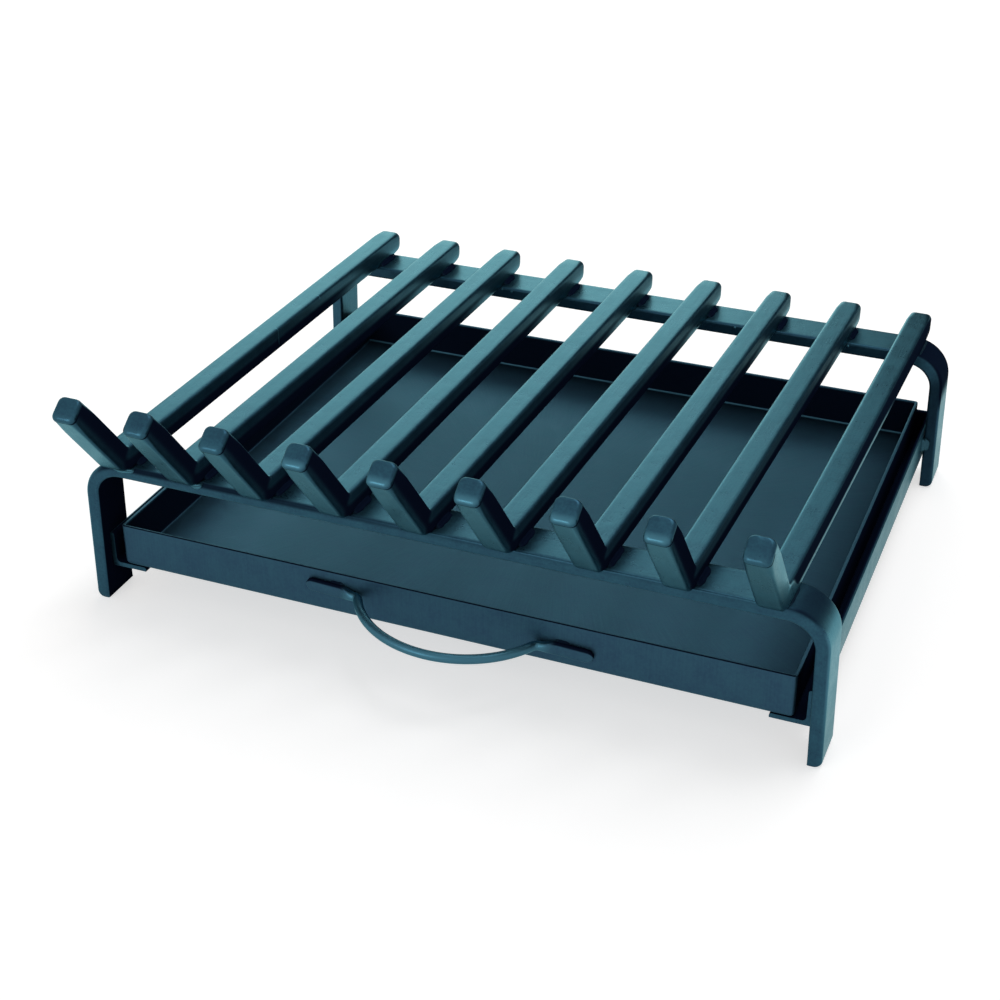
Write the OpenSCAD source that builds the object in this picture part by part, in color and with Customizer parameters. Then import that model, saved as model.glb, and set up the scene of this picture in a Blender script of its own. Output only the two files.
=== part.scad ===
// Steel log grate with a slide-out ash pan.
// Front at -Y, hearth at Z = 0, all sizes in millimetres.

/* [Frames] */
// Width across the feet of each frame
frame_w = 492; // [440:1:600]
// Height from the hearth to the top of the beams
frame_h = 105; // [95:1:130]
// Depth from the front face of the front frame to the rear face of the rear frame
frame_d = 382; // [320:1:460]
// Width of the flat bar that both frames are bent from
flat_w = 30; // [25:1:40]
// Thickness of that flat bar
flat_t = 9; // [8:0.5:12]
// Outer radius of the bend between beam and leg
bend_r = 26; // [20:1:34]
// How far each leg leans outwards, in degrees
leg_splay = 1.5; // [0:0.25:3]
// Rounding ground on the outer corner of each foot
foot_r = 4; // [2:0.5:6]

/* [Fire bars] */
// Side of the square bar
bar_s = 16; // [14:0.5:20]
// Rounding hammered on the bar's cut ends
bar_end_r = 3; // [2:0.5:5]
// Rounding above and below the bar's rear end, as a share of its side
bar_tail = 0.45; // [0.2:0.05:0.45]
// Distance from each side of the frames to the outer bar, before its own offset
bar_margin = 24; // [18:0.5:50]
// Reach of each bar behind the rear frame
bar_overhang = 12; // [4:0.5:14]
// Inner radius of the bend at the foot of each log stop
stop_bend_r = 3; // [2:0.5:8]
// How far each log stop leans forward from upright, in degrees
stop_lean = 37.5; // [20:0.5:45]
// Length of each log stop along its inner face
stop_len = 67.5; // [45:0.5:85]
// How far the row's front ends sit to the right of the middle
front_shift = -5; // [-8:0.5:8]
// How far the row's rear ends sit to the right of the middle
rear_shift = 5.5; // [-8:0.5:8]
// Hand-set offset of each bar's front end, left to right
front_nudge = [4.5, 0.5, -2, -1.5, -1.5, -1.5, 1, 0.5, 1]; // [-5:0.5:5]
// Hand-set offset of each bar's rear end, left to right
rear_nudge = [1, 0, -1.5, -2, 0.5, 1.5, 1.5, 0.5, -1.5]; // [-5:0.5:5]

/* [Pan runners] */
// Leg of the equal angle that carries the pan
angle_leg = 25; // [22:1:30]
// Thickness of that angle
angle_t = 3; // [2.5:0.5:4]
// Fillet inside the angle
angle_fillet_r = 3; // [1:0.5:4]
// Rounding of the angle's toes
angle_toe_r = 1.5; // [0.5:0.25:2]
// Height of the runners' underside above the hearth
runner_z = 22; // [15:1:30]
// Distance of the runners' front ends behind the front face of the frame
runner_recess = 8; // [4:1:20]
// Distance of the rear runner's back in front of the rear face of the frame
rear_recess = 0.5; // [0:0.5:5]

/* [Ash pan] */
// Thickness of the folded sheet
sheet_t = 2; // [1.5:0.25:3]
// Height of the pan's walls
pan_h = 30; // [24:1:40]
// Inner radius of the folds
fold_r = 1.5; // [1:0.25:3]
// Outer radius of the upright corners
pan_corner_r = 2.5; // [2:0.5:4]
// Gap between the pan's side and the runner
pan_side_gap = 7.3; // [2:0.1:10]
// Gap between the pan's rear wall and the rear runner
pan_rear_gap = 0.5; // [0.3:0.1:3]
// Running gap under the pan's floor
pan_seat_gap = 0.2; // [0.1:0.05:0.5]
// Distance of the pan's front panel behind the front face of the frame
pan_recess = 7; // [2:0.5:15]

/* [Handle] */
// Diameter of the handle's rod
rod_d = 6; // [5:0.5:8]
// Distance between the two heels of the grip
grip_span = 119; // [100:1:160]
// Furthest that the rod's middle stands off its seat line
grip_reach = 37; // [28:1:45]
// Swelling of the rod where it is bent at each heel
heel_swell = 0.6; // [0.4:0.2:1.6]
// Length of each flattened end of the rod
pad_len = 36.5; // [25:0.5:45]
// Height of the flattened ends
pad_w = 9; // [7:0.5:12]
// Thickness of the flattened ends
pad_t = 3; // [2:0.25:4]
// Gap between the heels and the pan's front panel
heel_gap = 0.2; // [0.1:0.05:0.5]
// How far the handle sits to the right of the middle
handle_shift = 7; // [-15:1:15]
// Height of the handle's middle above the pan's underside
handle_z = 15.8; // [12:0.2:20]
// How far the handle drops to the right, in degrees
handle_tilt = 2.2; // [0:0.1:4]

/* [Welds] */
// Leg of the fillet welds between bars and beams
bar_weld = 3.5; // [2:0.25:5]
// Length of those welds along the bar
bar_weld_len = 20; // [12:1:24]
// Leg of the welds between runners and legs
runner_weld = 6; // [3:0.5:8]
// Height of those welds
runner_weld_h = 11; // [6:1:16]
// Leg of the tack welds on the handle
tack_weld = 2; // [1:0.25:2.5]
// Length of those tacks
tack_len = 9; // [5:1:14]

/* [Hidden] */

bar_count = 9;
middle_bar = (bar_count + 1) / 2;
bar_pitch = (frame_w - 2 * bar_margin - bar_s) / (bar_count - 1);
corner_steps = 4;
facet = 90 / corner_steps;
flank = 1 / tan(facet / 2);
bend_steps = 12;
pad_steps = 12;
far = 1000;

frame_steel = "darkslategray";
bar_steel = "cadetblue";
runner_steel = "slategray";
pan_steel = "steelblue";
weld_steel = "lightslategray";

// Bends of the frames
bend_z = frame_h - bend_r;
bend_x = frame_w / 2 - (bend_r + bend_z * sin(leg_splay)) / cos(leg_splay);
foot_x = frame_w / 2 - (foot_r + foot_r * sin(leg_splay)) / cos(leg_splay);
rear_frame_y = frame_d - flat_w;

// Fire bars, seen from the side as [Y, Z] above the beams: the log stop turns up about
// stop_axis, and its inner face starts where the bend's inner arc has turned by stop_turn
stop_turn = 90 - stop_lean;
stop_axis = [stop_bend_r * tan(stop_turn / 2), bar_s + stop_bend_r];
stop_along = [-cos(stop_turn), sin(stop_turn)];
stop_across = [-sin(stop_turn), -cos(stop_turn)];
stop_straight = stop_len - stop_axis[0];
bar_rear_y = frame_d + bar_overhang;
bar_tail_r = bar_tail * bar_s;

// Middle of the whole depth, from the log stops' front corners to the bars' rear ends
front_y = stop_point(stop_bend_r + bar_s - bar_end_r, stop_straight - bar_end_r)[0] - bar_end_r;
middle_y = (front_y + bar_rear_y) / 2;

// Runners: their upright legs touch the leaning legs of the frames at the runners' top edge
runner_top = runner_z + angle_leg;
runner_x = frame_w / 2 - flat_t / cos(leg_splay) - runner_top * tan(leg_splay);
runner_rear_y = frame_d - rear_recess;

// Pan between the runners
pan_z = runner_z + angle_t + pan_seat_gap;
pan_half = runner_x - angle_t - pan_side_gap;
pan_rear_y = runner_rear_y - angle_t - pan_rear_gap;
pan_len = pan_rear_y - pan_recess;

// Handle: the grip is one arc from heel to heel, and past each heel the rod tapers into its pad
rod_r = rod_d / 2;
heel_r = (rod_d + heel_swell) / 2;
heel_x = grip_span / 2;
heel_y = pan_recess - heel_gap - heel_r;
heel_turn = 2 * atan(grip_reach / heel_x);
grip_r = heel_x / sin(heel_turn);
grip_y = heel_y - grip_reach + grip_r;
pad_y = pan_recess - pad_t / 2;
taper_r = pad_t / 2 - heel_gap;
taper_len = pad_len / 3;

function front_x(i) = front_shift + (i - middle_bar) * bar_pitch + front_nudge[i - 1];
function rear_x(i) = rear_shift + (i - middle_bar) * bar_pitch + rear_nudge[i - 1];
function bar_turn(i) = -atan((rear_x(i) - front_x(i)) / bar_rear_y);

// Point of the log stop, by its distances from stop_axis across the bar and along it
function stop_point(across, along) = stop_axis + across * stop_across + along * stop_along;

// Points of an arc about c from angle a to angle b
function arc(c, r, a, b, steps = corner_steps) =
    [for (k = [0:steps]) c + r * [cos(a + (b - a) * k / steps), sin(a + (b - a) * k / steps)]];

// Rectangle of w by h about the origin with rounded corners
module soft_rect(w, h, r) {
    x = w / 2 - r;
    y = h / 2 - r;
    polygon(concat(
        arc([x, y], r, 0, 90),
        arc([-x, y], r, 90, 180),
        arc([-x, -y], r, 180, 270),
        arc([x, -y], r, 270, 360)
    ));
}

// Moves the pieces so that the middle of the whole grate is at the origin
module placed() {
    translate([0, -middle_y, 0]) children();
}

// ---- Frames ----

function flipped(points) = [for (p = points) [-p[0], p[1]]];
function backwards(points) = [for (k = [len(points) - 1:-1:0]) points[k]];

// The bent flat bar, from its outline seen from the front: each list runs from the right
// foot up to the beam
module bent_frame() {
    outside = concat(
        arc([foot_x, foot_r], foot_r, -90, leg_splay),
        arc([bend_x, bend_z], bend_r, leg_splay, 90, bend_steps)
    );
    inside = concat(
        [[frame_w / 2 - flat_t / cos(leg_splay), 0]],
        arc([bend_x, bend_z], bend_r - flat_t, leg_splay, 90, bend_steps)
    );
    rotate([90, 0, 0]) linear_extrude(height = flat_w, center = true)
        polygon(concat(outside, backwards(flipped(outside)), flipped(inside), backwards(inside)));
}

module front_frame() {
    color(frame_steel) placed() translate([0, flat_w / 2, 0]) bent_frame();
}

module rear_frame() {
    color(frame_steel) placed() translate([0, rear_frame_y + flat_w / 2, 0]) bent_frame();
}

// ---- Fire bars ----

// The whole bar from the side, with its cut ends rounded
module bar_outline() {
    inner = stop_bend_r;
    outer = stop_bend_r + bar_s;
    across_angle = 270 - stop_turn;
    along_angle = 180 - stop_turn;
    polygon(concat(
        arc([bar_rear_y - bar_tail_r, bar_tail_r], bar_tail_r, -90, 0),
        arc([bar_rear_y - bar_tail_r, bar_s - bar_tail_r], bar_tail_r, 0, 90),
        arc(stop_axis, inner, 270, across_angle, bend_steps),
        arc(stop_point(inner + bar_end_r, stop_straight - bar_end_r), bar_end_r, 90 - stop_turn, along_angle),
        arc(stop_point(outer - bar_end_r, stop_straight - bar_end_r), bar_end_r, along_angle, across_angle),
        arc(stop_axis, outer, across_angle, 270, bend_steps)
    ));
}

// A plate along +Y, wider than the bar, whose end has the bar's width and the same rounding
module end_plate(len) {
    corner = bar_s / 2 - bar_end_r;
    shoulder = len - bar_end_r - bar_s / 2 * flank;
    linear_extrude(height = far, center = true) polygon(concat(
        [[-bar_s, -far], [bar_s, -far], [bar_s, shoulder]],
        arc([corner, len - bar_end_r], bar_end_r, facet, 90, corner_steps - 1),
        arc([-corner, len - bar_end_r], bar_end_r, 90, 180 - facet, corner_steps - 1),
        [[-bar_s, shoulder]]
    ));
}

module fire_bar() {
    intersection() {
        rotate([90, 0, 90]) linear_extrude(height = bar_s, center = true) bar_outline();
        end_plate(bar_rear_y);
        translate([0, stop_axis[0], stop_axis[1]]) rotate([180 - stop_turn, 0, 0]) end_plate(stop_straight);
    }
}

// Goes to where bar i crosses the frames
module at_bar(i) {
    placed() translate([front_x(i), 0, frame_h]) rotate([0, 0, bar_turn(i)]) children();
}

module bar(i) {
    color(bar_steel) at_bar(i) fire_bar();
}

// ---- Pan runners ----

// The angle with its heel at the origin, one leg along -X and one along +Y
module angle_section() {
    toe = angle_t - angle_toe_r;
    polygon(concat(
        [[0, 0], [0, angle_leg]],
        arc([-toe, angle_leg - angle_toe_r], angle_toe_r, 90, 180),
        arc([-angle_t - angle_fillet_r, angle_t + angle_fillet_r], angle_fillet_r, 0, -90),
        arc([-angle_leg + angle_toe_r, toe], angle_toe_r, 90, 180),
        [[-angle_leg, 0]]
    ));
}

// The right-hand runner, mitred at the rear
module runner() {
    intersection() {
        translate([runner_x, runner_rear_y, runner_z]) rotate([90, 0, 0])
            linear_extrude(height = runner_rear_y - runner_recess) angle_section();
        linear_extrude(height = frame_h) polygon([
            [runner_x + 1, 0],
            [runner_x + 1, runner_rear_y + 1],
            [runner_x - angle_leg - 1, runner_rear_y - angle_leg - 1],
            [runner_x - angle_leg - 1, 0]
        ]);
    }
}

module right_runner() {
    color(runner_steel) placed() runner();
}

module left_runner() {
    color(runner_steel) placed() mirror([1, 0, 0]) runner();
}

// The runner across the back, which stops the pan, mitred at both ends
module rear_runner() {
    color(runner_steel) placed() intersection() {
        translate([-runner_x, runner_rear_y, runner_z]) rotate([90, 0, 90])
            linear_extrude(height = 2 * runner_x) angle_section();
        linear_extrude(height = frame_h) polygon([
            [-runner_x - 1, runner_rear_y + 1],
            [runner_x + 1, runner_rear_y + 1],
            [runner_x - angle_leg - 1, runner_rear_y - angle_leg - 1],
            [angle_leg + 1 - runner_x, runner_rear_y - angle_leg - 1]
        ]);
    }
}

// ---- Ash pan ----

// Section of the pan's outside or inside, with rounded folds at the bottom
module pan_outline(half, bottom, r) {
    polygon(concat(
        arc([half - r, bottom + r], r, 0, -90),
        arc([r - half, bottom + r], r, -90, -180),
        [[-half, pan_h + bottom], [half, pan_h + bottom]]
    ));
}

module pan_block(inset, r, corner_r) {
    half_x = pan_half - inset;
    half_y = pan_len / 2 - inset;
    intersection() {
        rotate([90, 0, 0]) linear_extrude(height = pan_len, center = true)
            pan_outline(half_x, inset, r);
        rotate([90, 0, 90]) linear_extrude(height = 2 * pan_half, center = true)
            pan_outline(half_y, inset, r);
        linear_extrude(height = pan_h + inset) soft_rect(2 * half_x, 2 * half_y, corner_r);
    }
}

module ash_pan() {
    color(pan_steel) placed() translate([0, pan_recess + pan_len / 2, pan_z]) difference() {
        pan_block(0, fold_r + sheet_t, pan_corner_r);
        pan_block(sheet_t, fold_r, pan_corner_r / 2);
    }
}

// ---- Handle ----

// Goes to the middle of the handle on its seat line, which stays in the panel's plane
module at_handle() {
    placed() translate([handle_shift, 0, pan_z + handle_z]) rotate([0, handle_tilt, 0]) children();
}

// The heel, the tapered rod and the flattened pad on the right
module handle_end() {
    translate([heel_x, heel_y, 0]) sphere(r = heel_r, $fn = 48);
    translate([heel_x, heel_y, 0]) rotate([0, 0, atan((pad_y - heel_y) / taper_len)]) rotate([0, 90, 0])
        cylinder(h = norm([taper_len, pad_y - heel_y]), r1 = rod_r, r2 = taper_r, $fn = 48);
    translate([0, pan_recess, 0]) rotate([90, 0, 0]) linear_extrude(height = pad_t)
        polygon(concat(
            [[heel_x, -taper_r], [heel_x + taper_len, -pad_w / 2]],
            arc([heel_x + pad_len - pad_w / 2, 0], pad_w / 2, -90, 90, pad_steps),
            [[heel_x + taper_len, pad_w / 2], [heel_x, taper_r]]
        ));
}

module pan_handle() {
    color(frame_steel) at_handle() {
        translate([0, grip_y, 0]) rotate([0, 0, -90 - heel_turn])
            rotate_extrude(angle = 2 * heel_turn, $fn = 180)
                translate([grip_r, 0]) circle(r = rod_r, $fn = 48);
        handle_end();
        mirror([1, 0, 0]) handle_end();
    }
}

// ---- Welds ----

// Section of a fillet weld in the corner at the origin, with a slightly full face
module bead_section(leg) {
    bulge = leg / 6;
    polygon([
        [0, 0],
        [leg, 0],
        [leg * 0.75 + bulge / 2, leg * 0.25 + bulge / 2],
        [leg / 2 + bulge, leg / 2 + bulge],
        [leg * 0.25 + bulge / 2, leg * 0.75 + bulge / 2],
        [0, leg]
    ]);
}

// Fillet welds along both sides of every bar where it crosses the beam of the frame whose
// front face is at beam_y, run down beside the outer bars to where the beam bends away
module bar_welds(beam_y) {
    difference() {
        for (i = [1:bar_count], side = [0, 1])
            at_bar(i) mirror([side, 0, 0])
                translate([bar_s / 2, beam_y + (flat_w + bar_weld_len) / 2, 0])
                    rotate([90, 0, 0]) linear_extrude(height = bar_weld_len) {
                        bead_section(bar_weld);
                        translate([0, -bar_weld]) square(bar_weld);
                    }
        placed() translate([0, beam_y + flat_w / 2, 0]) bent_frame();
    }
}

module front_bar_welds() {
    color(weld_steel) bar_welds(0);
}

module rear_bar_welds() {
    color(weld_steel) bar_welds(rear_frame_y);
}

// Upright welds in the corners between the runners' outer faces and the frames' legs
module runner_welds() {
    bottom = runner_z + (angle_leg - runner_weld_h) / 2;
    color(weld_steel) placed()
        for (side = [0, 1]) mirror([side, 0, 0]) {
            translate([runner_x, flat_w, bottom])
                linear_extrude(height = runner_weld_h) bead_section(runner_weld);
            translate([runner_x, rear_frame_y, bottom]) mirror([0, 1, 0])
                linear_extrude(height = runner_weld_h) bead_section(runner_weld);
        }
}

// Tacks along the upper and lower edges of both pads
module handle_welds() {
    tack_x = heel_x + (pad_len - pad_w / 2 - tack_len) / 2;
    color(weld_steel) at_handle()
        for (side = [0, 1], edge = [0, 1]) mirror([side, 0, 0]) mirror([0, 0, edge])
            translate([tack_x, pan_recess, pad_w / 2]) rotate([90, 0, 90])
                linear_extrude(height = tack_len) mirror([1, 0, 0]) bead_section(tack_weld);
}

front_frame();
rear_frame();
for (i = [1:bar_count]) bar(i);
left_runner();
right_runner();
rear_runner();
ash_pan();
pan_handle();
front_bar_welds();
rear_bar_welds();
runner_welds();
handle_welds();
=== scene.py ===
import bpy
import numpy as np
from mathutils import Matrix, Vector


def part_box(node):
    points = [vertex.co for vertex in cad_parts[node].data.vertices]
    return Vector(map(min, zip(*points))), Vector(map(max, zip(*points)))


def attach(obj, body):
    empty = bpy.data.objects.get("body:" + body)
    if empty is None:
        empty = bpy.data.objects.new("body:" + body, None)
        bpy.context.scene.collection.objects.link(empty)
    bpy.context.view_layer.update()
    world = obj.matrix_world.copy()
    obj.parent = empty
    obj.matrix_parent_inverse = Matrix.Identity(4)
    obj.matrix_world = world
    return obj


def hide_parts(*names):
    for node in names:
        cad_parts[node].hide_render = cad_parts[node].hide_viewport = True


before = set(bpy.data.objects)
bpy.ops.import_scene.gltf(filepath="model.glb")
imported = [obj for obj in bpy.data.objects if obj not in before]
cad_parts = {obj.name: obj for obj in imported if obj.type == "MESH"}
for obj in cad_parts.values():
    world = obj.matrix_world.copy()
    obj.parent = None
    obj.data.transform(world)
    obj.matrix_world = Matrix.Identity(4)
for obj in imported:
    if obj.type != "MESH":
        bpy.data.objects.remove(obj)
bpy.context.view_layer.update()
mm = 0.001
toRight, toBack, up = np.eye(3)
rng = np.random.default_rng(7)
print("frame loaded")


# angles, ramps and directions

def turned(degrees):
    # cosine and sine
    angle = np.radians(degrees)
    return np.cos(angle), np.sin(angle)


def smooth(t):
    # 3 t^2 - 2 t^3 between 0 and 1, level outside
    t = np.clip(t, 0, 1)
    return t * t * (3 - 2 * t)


def ramp(value, start, end):
    # smooth step from 0 where the value is start to 1 where it is end
    return smooth((value - start) / (end - start))


def spread(pair, share):
    # from the pair's first number at share 0 to its second at share 1
    return pair[0] + (pair[1] - pair[0]) * share


def unit(v):
    # the same direction, one long
    return v / np.linalg.norm(v, axis=-1, keepdims=True)


def gone(points):
    # distance gone along a row of points
    steps = np.linalg.norm(np.diff(points, axis=0), axis=-1)
    return np.concatenate([[0], np.cumsum(steps)])


# surfaces: a shell is a grid of points whose columns close into a ring, with a cap at each end

def carried(centres, across, upward, section):
    # point = centre of the station + section's first number across + its second number upward
    return (centres[:, None, :] + section[..., :1] * across[:, None, :]
            + section[..., 1:] * upward[:, None, :])


def shell(points, shadingAndMarks=0.0, along=None):
    # the UV map holds the way around the ring and along the piece; faces are turned round where their volume,
    # the sum of a . b x c over all triangles, comes out negative; the value given for each point is painted shade
    # up to 1, drawn nearly black and matt, and painted sheen down to -1, a lighter colour, which scratches and
    # spatter flecks also take
    rows, columns = points.shape[:2]
    shadingAndMarks = np.broadcast_to(shadingAndMarks, (rows, columns))
    along = gone(points.mean(axis=1)) if along is None else along
    middle = points[rows // 2]
    around = gone(np.concatenate([middle, middle[:1]]))
    row, column = np.meshgrid(np.arange(rows - 1), np.arange(columns), indexing="ij")
    beside = (column + 1) % columns
    quads = np.stack([row * columns + column, row * columns + beside,
                      (row + 1) * columns + beside, (row + 1) * columns + column], axis=-1).reshape(-1, 4)
    corners = np.stack([np.stack([around[column + right], along[row + ahead]], axis=-1)
                        for right, ahead in ((0, 0), (1, 0), (1, 1), (0, 1))], axis=2).reshape(-1, 4, 2)
    ring = np.arange(columns)
    caps = [ring[::-1], ring + (rows - 1) * columns]
    flat = points.reshape(-1, 3)
    centre = flat.mean(axis=0)
    a, b, c, d = (flat[quads[:, k]] - centre for k in range(4))
    volume = (np.cross(b - a, c - a) * a).sum() + (np.cross(c - a, d - a) * a).sum()
    if volume < 0:
        quads, corners = quads[:, ::-1], corners[:, ::-1]
        caps = [cap[::-1] for cap in caps]
    return {"points": flat, "quads": quads, "corners": corners, "caps": caps, "shadingAndMarks": shadingAndMarks.reshape(-1)}


def shown(name, data):
    # an object of these data in the scene
    made = bpy.data.objects.new(name, data)
    bpy.context.scene.collection.objects.link(made)
    return made


def addPiece(name, shells, body, slot, node, sharpFrom=32):
    # one mesh of all shells; edges sharper than sharpFrom degrees stay sharp
    points, faces, corners, shadingAndMarks, start = [], [], [], [], 0
    for part in shells:
        points.append(part["points"])
        shadingAndMarks.append(part["shadingAndMarks"])
        faces += (part["quads"] + start).tolist()
        corners.append(part["corners"].reshape(-1, 2))
        for cap in part["caps"]:
            faces.append((cap + start).tolist())
            corners.append(part["points"][cap][:, :2])
        start += len(part["points"])
    mesh = bpy.data.meshes.new(name)
    mesh.from_pydata(np.concatenate(points).tolist(), [], faces)
    mesh.attributes.new("shadingAndMarks", "FLOAT", "POINT").data.foreach_set("value", np.concatenate(shadingAndMarks))
    mesh.uv_layers.new(name="length").data.foreach_set("uv", np.concatenate(corners).ravel())
    mesh.polygons.foreach_set("use_smooth", [True] * len(faces))
    mesh.update()
    mesh.set_sharp_from_angle(angle=np.radians(sharpFrom))
    mesh.materials.append(paints[slot])
    piece = shown(name, mesh)
    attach(piece, body)
    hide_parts(node)
    return piece


def roundedRectangle(halfWide, halfHigh, radius, flatStops=(0.07, 0.5, 0.93)):
    # corner k: (+-(halfWide - radius), +-(halfHigh - radius)) + radius (cos a, sin a), a over a quarter turn;
    # the flats between hold points at flatStops of their length
    halfWide, halfHigh, radius = np.broadcast_arrays(*(np.atleast_1d(v)[:, None]
                                                       for v in (halfWide, halfHigh, radius)))
    arcs, parts = [], []
    for quarter, (signX, signY) in enumerate([(1, 1), (-1, 1), (-1, -1), (1, -1)]):
        cos, sin = turned(90 * quarter + np.linspace(0, 90, 6))
        arcs.append(np.stack([signX * (halfWide - radius) + radius * cos,
                              signY * (halfHigh - radius) + radius * sin], axis=-1))
    for arc, following in zip(arcs, arcs[1:] + arcs[:1]):
        parts += [arc, spread((arc[:, -1:], following[:, :1]), np.array(flatStops)[None, :, None])]
    return np.concatenate(parts, axis=1)


def endRings(radius, half, crown):
    # rings from the middle of a cut end to its full section, as depth and inset from the sides: first
    # depth = crown times the square of the share gone from the middle, then a quarter circle
    cos, sin = turned(np.linspace(90, 0, 7))
    inward = np.array([0.88, 0.66, 0.44, 0.22])
    depth = np.concatenate([crown * (1 - inward) ** 2, crown + radius * (1 - sin)])
    inset = np.concatenate([radius + (half - radius) * inward, radius * (1 - cos)])
    return depth, inset


# shader maths as Python expressions

class Shade:
    # one output of a material's node tree, or the tree alone
    def __init__(self, tree, output=None):
        self.tree = tree
        self.output = output

    def node(self, kind, settings=None, inputs=None, output=0):
        # a node, its settings, the values or links of its sockets, and the output that is used
        made = self.tree.nodes.new("ShaderNode" + kind)
        for name, value in (settings or {}).items():
            setattr(made, name, value)
        for name, value in (inputs or {}).items():
            if isinstance(value, Shade):
                self.tree.links.new(value.output, made.inputs[name])
            elif isinstance(value, tuple) and len(value) == 3 and made.inputs[name].type == "RGBA":
                made.inputs[name].default_value = (*value, 1)
            else:
                made.inputs[name].default_value = value
        return Shade(self.tree, made.outputs[output] if len(made.outputs) else None)

    def math(self, operation, *values):
        return self.node("Math", {"operation": operation}, dict(enumerate(values)))

    def __add__(self, other):
        return self.math("ADD", self, other)

    def __sub__(self, other):
        return self.math("SUBTRACT", self, other)

    def __rsub__(self, other):
        return self.math("SUBTRACT", other, self)

    def __mul__(self, other):
        return self.math("MULTIPLY", self, other)

    __radd__ = __add__
    __rmul__ = __mul__

    def between(self, low, high, start=0.0, end=1.0):
        # from start to end as the value goes from low to high
        return self.node("MapRange", {"interpolation_type": "SMOOTHSTEP"},
                         {"Value": self, "From Min": low, "From Max": high, "To Min": start, "To Max": end})

    def noise(self, scale, detail):
        return self.node("TexNoise", {}, {"Vector": self, "Scale": scale, "Detail": detail, "Roughness": 0.55})

    def mixed(self, low, high):
        # colour low where the value is 0 and high where it is 1
        return self.node("Mix", {"data_type": "RGBA"}, {0: self, 6: low, 7: high}, output=2)


def newTree(kind, name):
    # a material or world without nodes
    made = kind.new(name)
    made.use_nodes = True
    made.node_tree.nodes.clear()
    return made, Shade(made.node_tree)


def paint(name, look):
    # satin black-teal stove paint: clouds, grain, orange peel, faint streaks along the piece, painted shade
    # (nearly black, matt, not metallic) and painted sheen (a lighter colour) from each point's value, and a few
    # chips down to the steel
    material, make = newTree(bpy.data.materials, name)
    place = make.node("TexCoord", output="Object")
    length = make.node("UVMap", {"uv_map": "length"})
    shadingAndMarks = make.node("Attribute", {"attribute_name": "shadingAndMarks"}, output="Fac")

    clouds = place.noise(look["cloudScale"], 4).between(0.32, 0.68)
    grains = place.noise(look["grainScale"], 2).between(0.3, 0.7)
    streakScale = (look["streakScale"], look["streakScale"] / look["streakStretch"], 1)
    streaks = make.node("Mapping", {}, {"Vector": length, "Scale": streakScale}).noise(1.0, 3).between(0.3, 0.7)
    chips = place.noise(look["chipScale"], 2).between(look["chipLevel"], look["chipLevel"] + look["chipEdge"])
    peel = place.noise(look["peelScale"], 2)
    # masks of painted shade (value above 0) and of painted sheen (value below 0)
    paintedShade = shadingAndMarks.between(0, 1)
    thick = shadingAndMarks.between(0, -1)

    tone = clouds * look["cloudTone"] + grains * look["grainTone"] + streaks * look["streakTone"]
    colour = tone.mixed(look["dark"], look["light"])
    # painted sheen mixes in the lighter colour, painted shade the nearly black one
    colour = thick.mixed(colour, look["full"])
    colour = paintedShade.mixed(colour, look["paintedShade"])
    colour = chips.mixed(colour, look["bare"])
    rough = look["roughness"] + clouds * look["cloudRough"] + grains * look["grainRough"]
    rough = rough - streaks * look["streakGloss"] + paintedShade * look["shadeRough"] + chips * look["chipRough"]
    metal = look["metallic"] - paintedShade * look["metallic"]
    height = peel * look["peel"] + clouds * look["waves"] + streaks * look["rolled"] - chips * look["chipDepth"]
    bump = make.node("Bump", {}, {"Strength": 1.0, "Distance": 1.0, "Height": height})
    shader = make.node("BsdfPrincipled", {}, {
        "Base Color": colour, "Roughness": rough, "Normal": bump, "Metallic": metal,
        "Specular Tint": look["specularTint"], "Specular IOR Level": look["specularLevel"],
    })
    make.node("OutputMaterial", {}, {"Surface": shader})
    return material


satin = {
    # colours of the coat, of painted sheen (full), of painted shade, and of the steel in a chip
    "dark": (0.018, 0.052, 0.084), "light": (0.026, 0.085, 0.122), "full": (0.054, 0.160, 0.216),
    "paintedShade": (0.004, 0.008, 0.022), "bare": (0.085, 0.080, 0.070),
    # patterns, as noise cells to a metre; a streak is streakStretch times as long as wide
    "cloudScale": 70.0, "grainScale": 620.0, "streakScale": 900.0, "streakStretch": 26, "peelScale": 1500.0,
    "chipScale": 330.0, "chipLevel": 0.83, "chipEdge": 0.01,
    # share of each in the tone between dark and light
    "cloudTone": 0.4, "grainTone": 0.4, "streakTone": 0.2,
    # roughness, and how much each changes it
    "roughness": 0.28, "cloudRough": 0.06, "grainRough": 0.05, "streakGloss": 0.03, "shadeRough": 0.2,
    "chipRough": 0.1,
    "metallic": 0.9, "specularTint": (0.67, 0.98, 1.0, 1.0), "specularLevel": 0.0,
    # heights of the bump
    "peel": 0.05 * mm, "waves": 0.06 * mm, "rolled": 0.015 * mm, "chipDepth": 0.1 * mm,
}
sheetPaint = satin | {
    "dark": (0.024, 0.060, 0.102), "light": (0.031, 0.087, 0.128), "roughness": 0.46,
    "waves": 0.04 * mm, "rolled": 0.01 * mm,
}
weldPaint = satin | {"dark": (0.012, 0.034, 0.050), "light": (0.022, 0.062, 0.084), "waves": 0.12 * mm}
paints = {
    "bar_paint": paint("barPaint", satin),
    "frame_paint": paint("framePaint", satin),
    "runner_paint": paint("runnerPaint", satin),
    "pan_paint": paint("panPaint", sheetPaint),
    "handle_paint": paint("handlePaint", sheetPaint | {"roughness": 0.36}),
    "weld_paint": paint("weldPaint", weldPaint),
}
print("paints mixed")


# frames

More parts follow.
